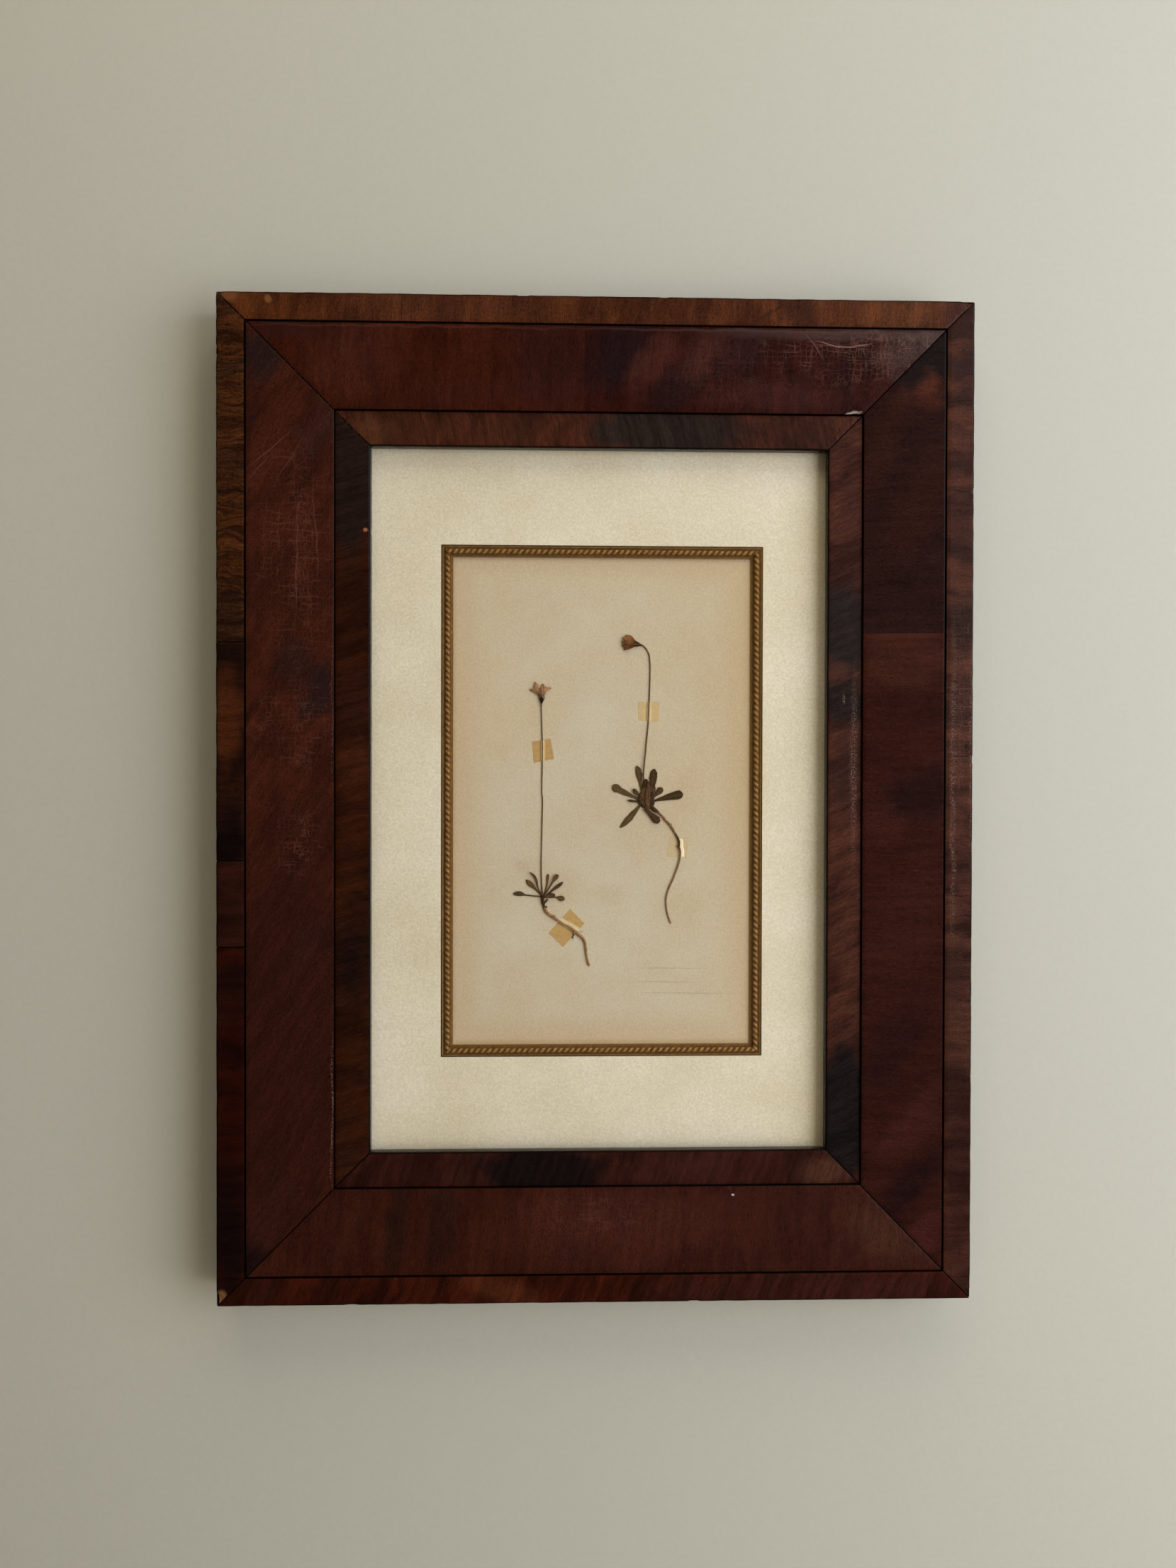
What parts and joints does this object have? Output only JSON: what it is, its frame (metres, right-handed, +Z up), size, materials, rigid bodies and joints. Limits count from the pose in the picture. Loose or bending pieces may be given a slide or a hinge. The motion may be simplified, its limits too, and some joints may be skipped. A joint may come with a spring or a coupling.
{
  "type": "pressed flower frame",
  "caption": "Veneered picture frame with glass, mat and gilt fillet, holding two pressed rosette plants taped to a paper sheet; hangs flat on a wall.",
  "frame": {"origin": "point of the sawtooth hanger, in the plane of the wall, that rests on the wall's nail", "axes": "+Z up, +Y into the wall, the front faces -Y, +X to the viewer's right"},
  "size_m": [0.464, 0.033, 0.617],
  "materials": {
    "rail_wood": "bare soft wood, stained dark on the outer edges",
    "band_veneer": "cross-banded mahogany veneer, old polish, worn",
    "slope_veneer": "figured mahogany veneer, old polish with fine crazing",
    "strip_veneer": "mahogany veneer with dark patches, satin",
    "glass": "clear window glass",
    "mat_board": "cream mat board, uncoated",
    "gilt": "dull bronze gilding with a rope-twist bead",
    "sheet_paper": "aged wove paper, toned at the edges",
    "backing": "grey-brown board",
    "plated_steel": "thin brass-plated steel",
    "felt": "dark felt",
    "tape": "clear sticky tape, yellowed where it holds the paper",
    "leaf": "dried leaf, dark olive brown",
    "stalk": "dried stalk, dark brown",
    "root": "dried root, tan brown bark",
    "petal_pink": "faded pinkish tan petals",
    "petal_rust": "rusty brown petals"
  },
  "bodies": {
    "root": {"backing_board": "backing", "bumper_left": "felt", "bumper_right": "felt", "fillet_bottom": "gilt", "fillet_left": "gilt", "fillet_right": "gilt", "fillet_top": "gilt", "glass_pane": "glass", "hanger_plate": "plated_steel", "inner_strip_bottom": "strip_veneer", "inner_strip_left": "strip_veneer", "inner_strip_right": "strip_veneer", "inner_strip_top": "strip_veneer", "left_flower": "petal_pink", "left_leaf_1": "leaf", "left_leaf_2": "leaf", "left_leaf_3": "leaf", "left_leaf_4": "leaf", "left_leaf_5": "leaf", "left_leaf_6": "leaf", "left_leaf_7": "leaf", "left_leaf_8": "leaf", "left_root": "root", "left_stalk": "stalk", "mat": "mat_board", "outer_band_bottom": "band_veneer", "outer_band_left_1": "band_veneer", "outer_band_left_2": "band_veneer", "outer_band_left_3": "band_veneer", "outer_band_left_4": "band_veneer", "outer_band_right": "band_veneer", "outer_band_top": "band_veneer", "rail_core_bottom": "rail_wood", "rail_core_left": "rail_wood", "rail_core_right": "rail_wood", "rail_core_top": "rail_wood", "right_crown": "leaf", "right_flower": "petal_rust", "right_leaf_1": "leaf", "right_leaf_2": "leaf", "right_leaf_3": "leaf", "right_leaf_4": "leaf", "right_leaf_5": "leaf", "right_leaf_6": "leaf", "right_leaf_7": "leaf", "right_leaf_8": "leaf", "right_leaf_9": "leaf", "right_root": "root", "right_stalk": "stalk", "slope_veneer_bottom": "slope_veneer", "slope_veneer_left": "slope_veneer", "slope_veneer_right_1": "slope_veneer", "slope_veneer_right_2": "slope_veneer", "slope_veneer_top_1": "slope_veneer", "slope_veneer_top_2": "slope_veneer", "specimen_sheet": "sheet_paper", "tape_1": "tape", "tape_2": "tape", "tape_3": "tape", "tape_4": "tape"}
  },
  "joints": []
}
